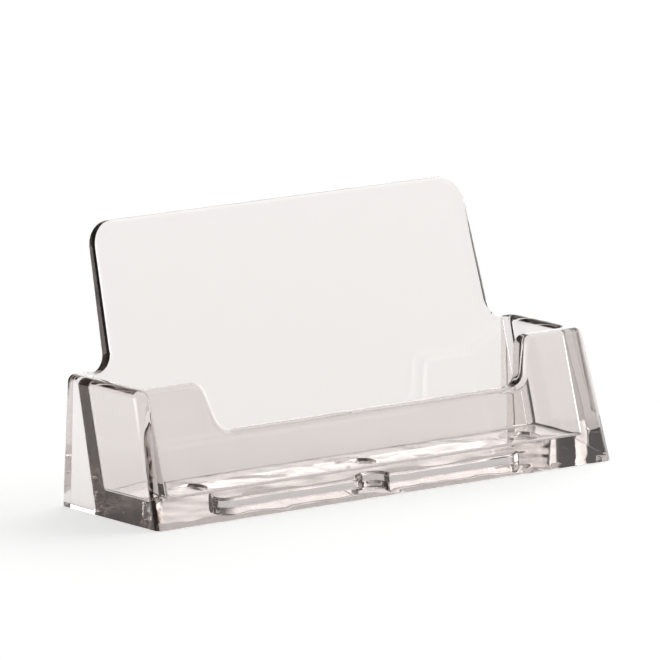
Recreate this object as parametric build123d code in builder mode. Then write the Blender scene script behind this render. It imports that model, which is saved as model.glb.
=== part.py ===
"""Clear landscape business card holder: two cheeks, a front lip, a card floor and a leaning back panel."""
import os
from math import atan, cos, degrees, radians, tan

from build123d import *

os.makedirs("parts", exist_ok=True)

# Overall sizes in millimetres, with X across the cards, Y towards the back and Z up
holder_depth = 33.4
holder_height = 47.5
overrun = 5.0

# Pocket, as wide as a card and its clearance at each end, with rounded corners
card_width = 89.0
card_clearance = 1.0
floor_height = 3.85
pocket_round = 0.6

# Cheeks, the two ends that the holder stands on, which thin towards their top
cheek_height = 22.8
cheek_foot_thickness = 4.25
cheek_top_thickness = 3.1
cheek_rear_margin = 0.7
corner_radius = 1.7
rim_radius = 1.4
rear_edge_round = 0.5

# Front lip, with a dip between its two posts that lets a thumb reach the cards
front_lean = 16.8
front_wall = 3.6
post_width = 13.0
dip_depth = 8.3
dip_flank_lean = 16.0
dip_fillet = 3.0
post_round = 2.4

# Back panel, a wedge that thins towards its rounded top and flares out onto the cheeks
back_lean = 15.3
panel_foot_thickness = 3.4
panel_top_thickness = 2.2
panel_side_lean = 3.0
panel_corner = 4.5
panel_flare = 3.4
panel_ledge = 0.4
panel_edge_radius = 0.95

# Hollow under the card floor, which keeps it as thin as the walls, with a pad where the mould was filled
hollow_end_inset = 12.1
hollow_front_share = 0.27
hollow_rear_margin = 0.5
hollow_depth = 1.6
hollow_corner_radius = 3.5
hollow_round = 0.6
pad_radius = 3.5

# Round marks that the ejector pins of the mould leave in the card floor
ejector_diameter = 7.2
ejector_depth = 0.5
ejector_inset = 9.0
ejector_count = 3

# Joints between the walls, set past the pocket's rounded corners
joint_margin = 0.3

# A rim's round stays under half of the wall that it is on
wall_share = 0.48

# Sizes and places worked out from those above
right_angle = 90
pocket_half = card_width / 2 + card_clearance
foot_half = pocket_half + cheek_foot_thickness
top_half = pocket_half + cheek_top_thickness
lip_height = cheek_height - dip_depth
mouth_height = cheek_height + overrun
dip_half = pocket_half - post_width
rim_round = min(rim_radius, wall_share * cheek_top_thickness)
panel_edge_round = min(panel_edge_radius, wall_share * panel_top_thickness)
front_slope = tan(radians(front_lean))
front_wall_run = front_wall / cos(radians(front_lean))
back_slope = tan(radians(back_lean))
back_stretch = 1 / cos(radians(back_lean))
foot_front = -holder_depth / 2
panel_rear_top = holder_depth / 2 + panel_edge_round * (back_slope + back_stretch - 1)
panel_front_top = panel_rear_top - panel_top_thickness * back_stretch
panel_rear_foot = panel_rear_top - holder_height * back_slope
panel_front_foot = panel_rear_foot - panel_foot_thickness * back_stretch
panel_slope = (panel_front_top - panel_front_foot) / holder_height


def front_face(height):
    """Y of the front lip's outer face at a height."""
    return foot_front + height * front_slope


def pocket_front(height):
    """Y of the front lip's inner face at a height."""
    return front_face(height) + front_wall_run


def panel_front(height):
    """Y of the back panel's front face at a height."""
    return panel_front_foot + height * panel_slope


def panel_rear(height):
    """Y of the back panel's rear face at a height."""
    return panel_rear_foot + height * back_slope


def joint_run(corner_angle):
    """Distance along the card floor from a wall to the joint past the round in their corner."""
    return pocket_round / tan(radians(corner_angle / 2)) + joint_margin


cheek_rear = panel_rear(cheek_height) + cheek_rear_margin
lip_foot = pocket_front(0) + joint_run(right_angle - front_lean)
panel_foot = panel_front(0) - joint_run(right_angle + degrees(atan(panel_slope)))
hollow_front = lip_foot + hollow_front_share * (panel_foot - lip_foot)
hollow_run = panel_foot - hollow_rear_margin - hollow_front

# Room for the cards, whose rounded edges become the corners of the pocket
with BuildPart() as pocket_room:
    with BuildSketch(Plane.YZ):
        Polygon(
            (pocket_front(floor_height), floor_height),
            (panel_front(floor_height), floor_height),
            (panel_front(mouth_height), mouth_height),
            (pocket_front(mouth_height), mouth_height),
            align=None,
        )
    extrude(amount=pocket_half, both=True)
    open_edges = pocket_room.faces().sort_by(Axis.Z)[-1].edges()
    fillet(pocket_room.edges() - open_edges, radius=pocket_round)

# Room between the cheeks behind the back panel, open below and to the back
with BuildPart() as rear_room:
    with BuildSketch(Plane.YZ):
        Polygon(
            (panel_rear(-overrun), -overrun),
            (cheek_rear + overrun, -overrun),
            (cheek_rear + overrun, mouth_height),
            (panel_rear(mouth_height), mouth_height),
            align=None,
        )
    extrude(amount=pocket_half, both=True)
    panel_edges = rear_room.faces().sort_by(Axis.Y)[0].edges()
    fillet(panel_edges.filter_by(Axis.X, reverse=True), radius=pocket_round)

# Plate of the back panel, rooted in both cheeks, flared in above them and tapered to rounded corners
root_half = pocket_half + rim_round
waist_half = pocket_half - panel_flare - panel_ledge
crown_half = waist_half - (holder_height - cheek_height) * tan(radians(panel_side_lean))
with BuildPart() as panel_plate:
    with BuildSketch(Plane.YZ):
        Polygon(
            (panel_front_foot, 0),
            (panel_rear_foot, 0),
            (panel_rear_top, holder_height),
            (panel_front_top, holder_height),
            align=None,
        )
    extrude(amount=root_half, both=True)
    with BuildSketch(Plane.XZ) as outline:
        Polygon(
            (-root_half, 0),
            (root_half, 0),
            (root_half, cheek_height),
            (waist_half, cheek_height),
            (crown_half, holder_height),
            (-crown_half, holder_height),
            (-waist_half, cheek_height),
            (-root_half, cheek_height),
            align=None,
        )
        fillet(outline.vertices().group_by(Axis.Y)[-1], radius=panel_corner)
        fillet(outline.vertices().group_by(Axis.Y)[1].sort_by(Axis.X)[1:3], radius=panel_flare)
    extrude(amount=holder_depth, both=True, mode=Mode.INTERSECT)
    fillet(panel_plate.edges().filter_by(Axis.X).group_by(Axis.Z)[-1], radius=panel_edge_round)

# Hollow under the card floor, with round corners and a round ceiling edge, which goes round the pad
with BuildPart() as floor_hollow:
    with BuildSketch(Plane.XY) as hollow_plan:
        with Locations((0, hollow_front)):
            Rectangle(2 * (pocket_half - hollow_end_inset), hollow_run, align=(Align.CENTER, Align.MIN))
        fillet(hollow_plan.vertices(), radius=min(hollow_corner_radius, wall_share * hollow_run))
        with Locations((0, hollow_front)):
            Circle(min(pad_radius, wall_share * hollow_run), mode=Mode.SUBTRACT)
    extrude(amount=hollow_depth)
    fillet(floor_hollow.faces().sort_by(Axis.Z)[-1].edges(), radius=hollow_round)

# Whole body of the holder, from which its five walls are cut
with BuildPart() as body:
    with BuildSketch(Plane.YZ):
        Polygon(
            (foot_front, 0),
            (cheek_rear, 0),
            (cheek_rear, cheek_height),
            (front_face(cheek_height), cheek_height),
            align=None,
        )
    extrude(amount=foot_half, both=True)
    for side in (-1, 1):
        foot_edge = Vector(side * foot_half, 0, 0)
        top_edge = Vector(side * top_half, 0, cheek_height)
        outward = Vector(0, side, 0).cross(top_edge - foot_edge)
        split(bisect_by=Plane(origin=foot_edge, z_dir=outward), keep=Keep.BOTTOM)
    front_edges = body.faces().sort_by(Axis.Y)[0].edges()
    fillet(front_edges.filter_by(Axis.X, reverse=True), radius=corner_radius)
    add(pocket_room.part, mode=Mode.SUBTRACT)
    add(rear_room.part, mode=Mode.SUBTRACT)

    # The dip's flanks lean outwards, with a hollow at their foot and a round at their top
    flare_half = dip_half + (mouth_height - lip_height) * tan(radians(dip_flank_lean))
    with BuildSketch(Plane.XZ):
        Polygon(
            (-dip_half, lip_height),
            (dip_half, lip_height),
            (flare_half, mouth_height),
            (-flare_half, mouth_height),
            align=None,
        )
    extrude(amount=holder_depth, mode=Mode.SUBTRACT)
    dip_edges = body.edges().filter_by(Axis.Y).sort_by(lambda edge: abs(edge.center().Z - lip_height))
    fillet(dip_edges[:2], radius=dip_fillet)
    top_edges = body.edges().filter_by(Axis.Y).group_by(Axis.Z)[-1]
    fillet(top_edges.sort_by(Axis.Y)[:2], radius=post_round)

    # The rim's rounds follow the outer edge from cheek to cheek, and the inner edge round the pocket
    top_edges = body.edges().filter_by(Axis.Y).group_by(Axis.Z)[-1].sort_by(Axis.X)
    fillet([top_edges[0], top_edges[-1]], radius=rim_round)
    lip_edges = body.edges().filter_by(Axis.X).sort_by(lambda edge: abs(edge.center().Z - lip_height))
    fillet(lip_edges[:2].sort_by(Axis.Y)[-1], radius=rim_round)
    rear_edges = body.edges().group_by(Axis.Y)[-1].sort_by(Axis.X)
    fillet([rear_edges[0], rear_edges[-1]], radius=rear_edge_round)
    add(panel_plate.part)
    add(floor_hollow.part, mode=Mode.SUBTRACT)

    # The ejector marks stand in a row along the middle of the floor
    with BuildSketch(Plane.XY.offset(floor_height)):
        with Locations((0, (pocket_front(floor_height) + panel_front(floor_height)) / 2)):
            with GridLocations(pocket_half - ejector_inset, 0, ejector_count, 1):
                Circle(ejector_diameter / 2)
    extrude(amount=-ejector_depth, mode=Mode.SUBTRACT)

# The end joints are upright, and the long ones lean with the lip and with the panel
end_joint = pocket_half - pocket_round - joint_margin
right_joint = Plane.YZ.offset(end_joint)
left_joint = Plane.YZ.offset(-end_joint)
lip_joint = Plane(origin=(0, lip_foot, 0), z_dir=(0, 1, -front_slope))
panel_joint = Plane(origin=(0, panel_foot, 0), z_dir=(0, 1, -panel_slope))

with BuildPart() as right_cheek:
    add(body.part)
    split(bisect_by=right_joint, keep=Keep.TOP)

with BuildPart() as left_cheek:
    add(body.part)
    split(bisect_by=left_joint, keep=Keep.BOTTOM)

with BuildPart() as front_lip:
    add(body.part)
    split(bisect_by=right_joint, keep=Keep.BOTTOM)
    split(bisect_by=left_joint, keep=Keep.TOP)
    split(bisect_by=lip_joint, keep=Keep.BOTTOM)

with BuildPart() as card_floor:
    add(body.part)
    split(bisect_by=right_joint, keep=Keep.BOTTOM)
    split(bisect_by=left_joint, keep=Keep.TOP)
    split(bisect_by=lip_joint, keep=Keep.TOP)
    split(bisect_by=panel_joint, keep=Keep.BOTTOM)

with BuildPart() as back_panel:
    add(body.part)
    split(bisect_by=right_joint, keep=Keep.BOTTOM)
    split(bisect_by=left_joint, keep=Keep.TOP)
    split(bisect_by=panel_joint, keep=Keep.TOP)

pieces = {
    "left_cheek": left_cheek,
    "right_cheek": right_cheek,
    "front_lip": front_lip,
    "card_floor": card_floor,
    "back_panel": back_panel,
}
for name, piece in pieces.items():
    piece.part.label = name
    export_step(piece.part, f"parts/{name}.step")
    print(name, "volume", round(piece.part.volume, 1), "valid", piece.part.is_valid)
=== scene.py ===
# %% [markdown]
# # A clear business card holder in five walls
# The real holder looks like one clear injection moulding. Its construction model has a solid for each wall:
# two cheeks, a front lip, a card floor and a back panel, which meet face to face. This lesson dresses those
# solids: it takes each wall's shape from the frame, rounds the edges that are still sharp, lets light run on
# through the bonds between the walls and gives the plastic its clear, slightly smoky body.

# %% The frame
from math import cos, radians, sin

import bmesh
import bpy
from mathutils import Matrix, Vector
from mathutils.bvhtree import BVHTree


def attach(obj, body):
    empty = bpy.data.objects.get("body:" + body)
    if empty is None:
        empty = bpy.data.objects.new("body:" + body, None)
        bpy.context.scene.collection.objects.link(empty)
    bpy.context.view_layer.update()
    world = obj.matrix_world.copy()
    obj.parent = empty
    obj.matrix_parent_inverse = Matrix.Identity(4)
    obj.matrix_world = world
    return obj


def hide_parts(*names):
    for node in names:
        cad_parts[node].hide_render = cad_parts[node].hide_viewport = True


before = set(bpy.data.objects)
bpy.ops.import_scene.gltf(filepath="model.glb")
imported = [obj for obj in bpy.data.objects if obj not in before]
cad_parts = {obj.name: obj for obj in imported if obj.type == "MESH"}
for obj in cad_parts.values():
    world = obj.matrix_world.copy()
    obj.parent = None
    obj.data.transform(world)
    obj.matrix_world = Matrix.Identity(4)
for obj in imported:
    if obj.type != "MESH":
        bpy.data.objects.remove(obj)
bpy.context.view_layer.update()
MM = 0.001

# %% [markdown]
# ## The five walls
# The walls' meshes arrive as loose triangles, one island for each face. A copy is welded at its shared
# corners, so that edges can be picked and rounded. The walls could be drawn afresh, but the frame's own
# shape is right, and a copy can't drift from it.

# %% Welded copies of the walls
WELD = 0.001 * MM


def welded(node):
    """A bmesh copy of a wall, with its corners merged."""
    wall = bmesh.new()
    wall.from_mesh(node.data)
    bmesh.ops.remove_doubles(wall, verts=wall.verts, dist=WELD)
    return wall


walls = {name: welded(node) for name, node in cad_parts.items()}
solids = {name: BVHTree.FromBMesh(wall) for name, wall in walls.items()}
for name, wall in walls.items():
    print(name, len(wall.faces), "triangles, closed", all(edge.is_manifold for edge in wall.edges))

# %% [markdown]
# ## The bonds
# Where two walls meet, the real plastic runs through. Light must cross there unbent, or each bond would show
# as a mirror. So every face that lies against another wall is marked as bonded. The test takes a point just
# outside the face's middle: it is inside the other wall if a ray from it crosses that wall's skin an odd
# number of times. Any slanting ray serves.

# %% Marks on the bonded faces
PROBE = 0.02 * MM
RAY = Vector((0.31, 0.17, 0.93)).normalized()
RAY_STEP = 0.001 * MM


def inside(solid, point):
    """True if a ray from the point crosses the solid's skin an odd number of times."""
    crossings = 0
    hit = solid.ray_cast(point, RAY)
    while hit[0] is not None:
        crossings += 1
        hit = solid.ray_cast(hit[0] + RAY * RAY_STEP, RAY)
    return crossings % 2 == 1


for name, wall in walls.items():
    bonded = wall.faces.layers.float.new("bonded")
    others = [solid for other, solid in solids.items() if other != name]
    wall.normal_update()
    for face in wall.faces:
        outside = face.calc_center_median() + face.normal * PROBE
        face[bonded] = float(any(inside(solid, outside) for solid in others))
    print(name, int(sum(face[bonded] for face in wall.faces)), "bonded triangles")

# %% [markdown]
# ## The edges
# A moulded edge is never knife sharp. The frame has the large rounds already; what is left sharp, such as
# the foot and the rims of the ejector marks, gets a small bevel, because in clear plastic every edge is a
# lens. Flat groups of triangles become single faces first, or the bevel would trip over their corners.

# %% Small rounds on the sharp edges
FLAT_WITHIN = radians(0.2)
SHARP = radians(28)
EDGE_ROUND = 0.15 * MM
ROUND_STEPS = 3
for name, wall in walls.items():
    bonded = wall.faces.layers.float["bonded"]
    bmesh.ops.dissolve_limit(wall, angle_limit=FLAT_WITHIN, verts=wall.verts, edges=wall.edges)
    wall.normal_update()
    edges = [
        edge
        for edge in wall.edges
        if edge.calc_face_angle_signed(0.0) > SHARP and not any(face[bonded] for face in edge.link_faces)
    ]
    bmesh.ops.bevel(
        wall,
        geom=edges,
        offset=EDGE_ROUND,
        offset_type="OFFSET",
        segments=ROUND_STEPS,
        profile=0.5,
        affect="EDGES",
        clamp_overlap=True,
        material=-1,
    )
    wall.normal_update()
    print(name, len(edges), "sharp edges rounded,", len(wall.faces), "faces")

# %% [markdown]
# ## The gaps at the bonds
# Two faces in one plane would flicker, so the bonded faces are drawn back by a hair. A corner where bonded
# faces meet at an angle moves once for each of their directions, and faces that look the same way count as
# one.

# %% A hair's gap at each bond
BOND_GAP = 0.003 * MM
SAME_WAY = 0.99
for name, wall in walls.items():
    bonded = wall.faces.layers.float["bonded"]
    directions = {}
    for face in wall.faces:
        for corner in face.verts if face[bonded] else ():
            normals = directions.setdefault(corner, [])
            if all(face.normal.dot(normal) < SAME_WAY for normal in normals):
                normals.append(face.normal.copy())
    for corner, normals in directions.items():
        for normal in normals:
            corner.co -= normal * BOND_GAP
    print(name, len(directions), "corners drawn back")

# %% [markdown]
# ## The pieces
# Each wall becomes an object of its own, because each is a part that can be named and taken away. Shading is
# smooth over the rounds, and normals weighted by area keep the flat faces flat between them.

# %% Pieces from the walls
pieces = {}
for name, wall in walls.items():
    for face in wall.faces:
        face.smooth = True
    for edge in wall.edges:
        edge.smooth = edge.calc_face_angle(0.0) < SHARP
    mesh = bpy.data.meshes.new(name + "_clear")
    wall.to_mesh(mesh)
    wall.free()
    piece = bpy.data.objects.new(name + "_clear", mesh)
    bpy.context.scene.collection.objects.link(piece)
    weighted = piece.modifiers.new("flat faces stay flat", "WEIGHTED_NORMAL")
    weighted.keep_sharp = True
    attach(piece, "root")
    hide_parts(name)
    pieces[name] = piece
    print(piece.name, len(mesh.polygons), "faces")

# %% [markdown]
# ## Colours and nodes
# Colours are written as sRGB hex values, as a paint program shows them, and shaders want linear ones. A node
# could be added, set and linked line by line; one helper does all three, so that a material reads as a list.
# Sockets that have no name of their own are given by their number, as i0, i1 and so on.

# %% Helpers for the materials
def linear(hex_colour):
    """An sRGB hex colour as linear red, green, blue and alpha."""
    channels = [int(hex_colour[i : i + 2], 16) / 255 for i in (1, 3, 5)]
    return (*[c / 12.92 if c <= 0.04045 else ((c + 0.055) / 1.055) ** 2.4 for c in channels], 1.0)


def add(tree, kind, settings=None, **inputs):
    """Adds a node, sets its properties, and fills its sockets with values or links."""
    node = tree.nodes.new(kind)
    for key, value in (settings or {}).items():
        setattr(node, key, value)
    for key, value in inputs.items():
        numbered = key[0] == "i" and key[1:].isdigit()
        socket = node.inputs[int(key[1:]) if numbered else key.replace("_", " ")]
        if isinstance(value, bpy.types.NodeSocket):
            tree.links.new(value, socket)
        else:
            socket.default_value = value
    return node


def new_material(name):
    """A material with an empty node tree, and that tree."""
    material = bpy.data.materials.new(name)
    material.use_nodes = True
    material.node_tree.nodes.clear()
    return material, material.node_tree


WHITE = linear("#FFFFFF")
print("white as linear", WHITE)

# %% [markdown]
# ## The skin of the plastic
# The holder is taken to be crystal polystyrene from a polished mould. The skin is glossy, but it cools
# unevenly: a slow ripple a few thousandths of a millimetre deep bends what is seen through the walls, and the
# gloss varies a little with it. The thick base shrinks more than the walls, so its ripple is deeper, and it is
# drawn deeper than a real skin is likely to be, because only then do the soft streaks in the base show.

# %% Ripple and gloss
RIPPLE_SIZE, WALL_RIPPLE, BASE_RIPPLE = 9 * MM, 0.006 * MM, 0.25 * MM
BASE_TOP, WALL_START = 4.5 * MM, 9 * MM
ROUGHEST = 0.03
plastic, tree = new_material("crystal polystyrene, moulded clear")
place = add(tree, "ShaderNodeTexCoord").outputs["Object"]
ripple = add(tree, "ShaderNodeTexNoise", Vector=place, Scale=1 / RIPPLE_SIZE, Detail=1.0).outputs["Fac"]
height = add(tree, "ShaderNodeSeparateXYZ", Vector=place).outputs["Z"]
depth = add(
    tree,
    "ShaderNodeMapRange",
    {"interpolation_type": "SMOOTHSTEP"},
    Value=height,
    From_Min=BASE_TOP,
    From_Max=WALL_START,
    To_Min=BASE_RIPPLE,
    To_Max=WALL_RIPPLE,
)
bump = add(tree, "ShaderNodeBump", Strength=1.0, Distance=depth.outputs["Result"], Height=ripple)
gloss = add(tree, "ShaderNodeMapRange", Value=ripple, To_Min=0.0, To_Max=ROUGHEST)
print("ripple in mm: walls", WALL_RIPPLE / MM, "base", BASE_RIPPLE / MM)

# %% [markdown]
# ## The body of the plastic
# The plastic could be drawn as a thin see-through film, which renders fast, but then the thick base and the
# edges would look empty. A solid that bends light shows them as they are: pale where one looks straight
# through a wall, dark where light runs on inside the wall to its edge. A little smoke in the body takes a few
# percent from each millimetre, and slightly more of the green and blue. Bonded faces let light straight on.

# %% Crystal polystyrene, moulded clear
POLYSTYRENE_IOR = 1.58
SMOKE_PER_METRE = 38.0
clear = add(
    tree,
    "ShaderNodeBsdfPrincipled",
    Base_Color=linear("#FBF8F7"),
    Roughness=gloss.outputs["Result"],
    IOR=POLYSTYRENE_IOR,
    Transmission_Weight=1.0,
    Normal=bump.outputs["Normal"],
)
straight = add(tree, "ShaderNodeBsdfTransparent", Color=WHITE)
bond = add(tree, "ShaderNodeAttribute", {"attribute_name": "bonded"}).outputs["Fac"]
whole = add(tree, "ShaderNodeMixShader", i0=bond, i1=clear.outputs[0], i2=straight.outputs[0])
smoke = add(tree, "ShaderNodeVolumeAbsorption", Color=linear("#A5958C"), Density=SMOKE_PER_METRE)
add(tree, "ShaderNodeOutputMaterial", Surface=whole.outputs[0], Volume=smoke.outputs[0])
for piece in pieces.values():
    piece.data.materials.append(plastic)
print(plastic.name, "on", len(pieces), "pieces")

# %% [markdown]
# ## The paper underneath
# The holder stands on a sheet of white paper, as large as a studio floor. One square is enough. It lies a
# hair under the holder's foot, so that the two don't share a plane.

# %% A sheet of paper
PAPER_HALF, PAPER_DROP = 3000 * MM, 0.05 * MM
floor_mesh = bpy.data.meshes.new("studio_floor")
sheet = bmesh.new()
bmesh.ops.create_grid(sheet, x_segments=1, y_segments=1, size=PAPER_HALF)
bmesh.ops.translate(sheet, verts=sheet.verts, vec=(0, 0, -PAPER_DROP))
sheet.to_mesh(floor_mesh)
sheet.free()
floor = bpy.data.objects.new("studio_floor", floor_mesh)
bpy.context.scene.collection.objects.link(floor)
print(floor.name, "reaches", PAPER_HALF, "m each way")

# %% [markdown]
# ## The white of the paper
# Lit paper alone would come out grey at this plain level of light, so the paper glows a little for the camera
# and for what is seen in or through the plastic. It stays matt for the light itself, so it keeps the holder's
# shadow.

# %% White paper sweep
PAPER_GLOW = 0.60
paper, tree = new_material("white paper sweep")
matt = add(tree, "ShaderNodeBsdfDiffuse", Color=linear("#F2F2F1"))
rays = add(tree, "ShaderNodeLightPath").outputs
larger = {"operation": "MAXIMUM"}
seen = add(tree, "ShaderNodeMath", larger, i0=rays["Is Camera Ray"], i1=rays["Is Glossy Ray"])
seen = add(tree, "ShaderNodeMath", larger, i0=seen.outputs[0], i1=rays["Is Transmission Ray"])
lift = add(tree, "ShaderNodeMath", {"operation": "MULTIPLY"}, i0=seen.outputs[0], i1=PAPER_GLOW)
glow = add(tree, "ShaderNodeEmission", Color=WHITE, Strength=lift.outputs[0])
both = add(tree, "ShaderNodeAddShader", i0=matt.outputs[0], i1=glow.outputs[0])
add(tree, "ShaderNodeOutputMaterial", Surface=both.outputs[0])
floor_mesh.materials.append(paper)
print(paper.name, "glows by", PAPER_GLOW)

# %% [markdown]
# ## The light
# Clear plastic shows little but what stands round it. The studio is a dim room with one large soft box, low
# and wide, to the right of the holder and a little behind it: rims and corners that look that way turn white,
# and the rest of the edges stay dark. A lamp's hard border would draw hard lines in every edge. So the box is
# drawn into the world, as a bright patch with a soft border: how near a direction lies to the box is measured
# after its height is stretched, which flattens the patch.

# %% Nearness to a low wide box
BOX_AZIMUTH, BOX_ELEVATION = radians(80), radians(21)
FLATTEN = 2.2
world = bpy.data.worlds.new("studio")
bpy.context.scene.world = world
world.use_nodes = True
tree = world.node_tree
tree.nodes.clear()
heading = add(tree, "ShaderNodeTexCoord").outputs["Generated"]
tall = add(tree, "ShaderNodeVectorMath", {"operation": "MULTIPLY"}, i0=heading, i1=(1, 1, FLATTEN))
tall = add(tree, "ShaderNodeVectorMath", {"operation": "NORMALIZE"}, i0=tall.outputs[0])
box = (sin(BOX_AZIMUTH) * cos(BOX_ELEVATION), cos(BOX_AZIMUTH) * cos(BOX_ELEVATION), sin(BOX_ELEVATION))
near_box = add(tree, "ShaderNodeVectorMath", {"operation": "DOT_PRODUCT"}, i0=tall.outputs[0], i1=box)
print("soft box towards", [round(x, 2) for x in box])

# %% [markdown]
# The level falls from the box's to the room's between two angles. The camera itself sees plain white behind
# the paper, which puts no more light on the holder.

# %% Box and room
BOX_INNER, BOX_OUTER = radians(12), radians(62)
BOX_LEVEL, ROOM_LEVEL = 3.2, 0.15
lit = add(
    tree,
    "ShaderNodeMapRange",
    {"interpolation_type": "SMOOTHSTEP"},
    Value=near_box.outputs["Value"],
    From_Min=cos(BOX_OUTER),
    From_Max=cos(BOX_INNER),
    To_Min=ROOM_LEVEL,
    To_Max=BOX_LEVEL,
)
watched = add(tree, "ShaderNodeLightPath").outputs["Is Camera Ray"]
level = add(tree, "ShaderNodeMix", {"data_type": "FLOAT"}, i0=watched, i2=lit.outputs["Result"], i3=1.0)
room = add(tree, "ShaderNodeBackground", Color=WHITE, Strength=level.outputs[0])
add(tree, "ShaderNodeOutputWorld", Surface=room.outputs[0])
print("soft box", BOX_LEVEL, "in a room of", ROOM_LEVEL)

# %% [markdown]
# ## The camera
# The holder is seen from its left, slightly from above, through a long lens. The angles, the aim and the
# distance were fitted to the holder's corners, so that they fall where the picture has them.

# %% The view
AZIMUTH, ELEVATION = radians(37.857), radians(10.681)
AIM = Vector((-2.185, -2.486, 27.076)) * MM
DISTANCE = 1523 * MM
FOCAL_PIXELS, FRAME_PIXELS = 8833.9, 660
scene = bpy.context.scene
lens = bpy.data.cameras.new("camera")
lens.lens = FOCAL_PIXELS * lens.sensor_width / FRAME_PIXELS
camera = bpy.data.objects.new("camera", lens)
towards = Vector((-sin(AZIMUTH) * cos(ELEVATION), -cos(AZIMUTH) * cos(ELEVATION), sin(ELEVATION)))
camera.location = AIM + towards * DISTANCE
camera.rotation_mode = "QUATERNION"
camera.rotation_quaternion = towards.to_track_quat("Z", "Y")
scene.collection.objects.link(camera)
scene.camera = camera
print("lens", round(lens.lens, 1), "mm, camera at", [round(x, 3) for x in camera.location])

# %% [markdown]
# ## The bounces
# Light bounces many times inside the base before it leaves. With the usual limits those paths would end in
# black, so the limits are high. The Standard view shows each colour as it is written.

# %% Colours as written and long light paths
BOUNCES = 96
scene.view_settings.view_transform = "Standard"
scene.cycles.max_bounces = BOUNCES
scene.cycles.glossy_bounces = BOUNCES
scene.cycles.transmission_bounces = BOUNCES
scene.cycles.transparent_max_bounces = BOUNCES
print("up to", BOUNCES, "bounces")
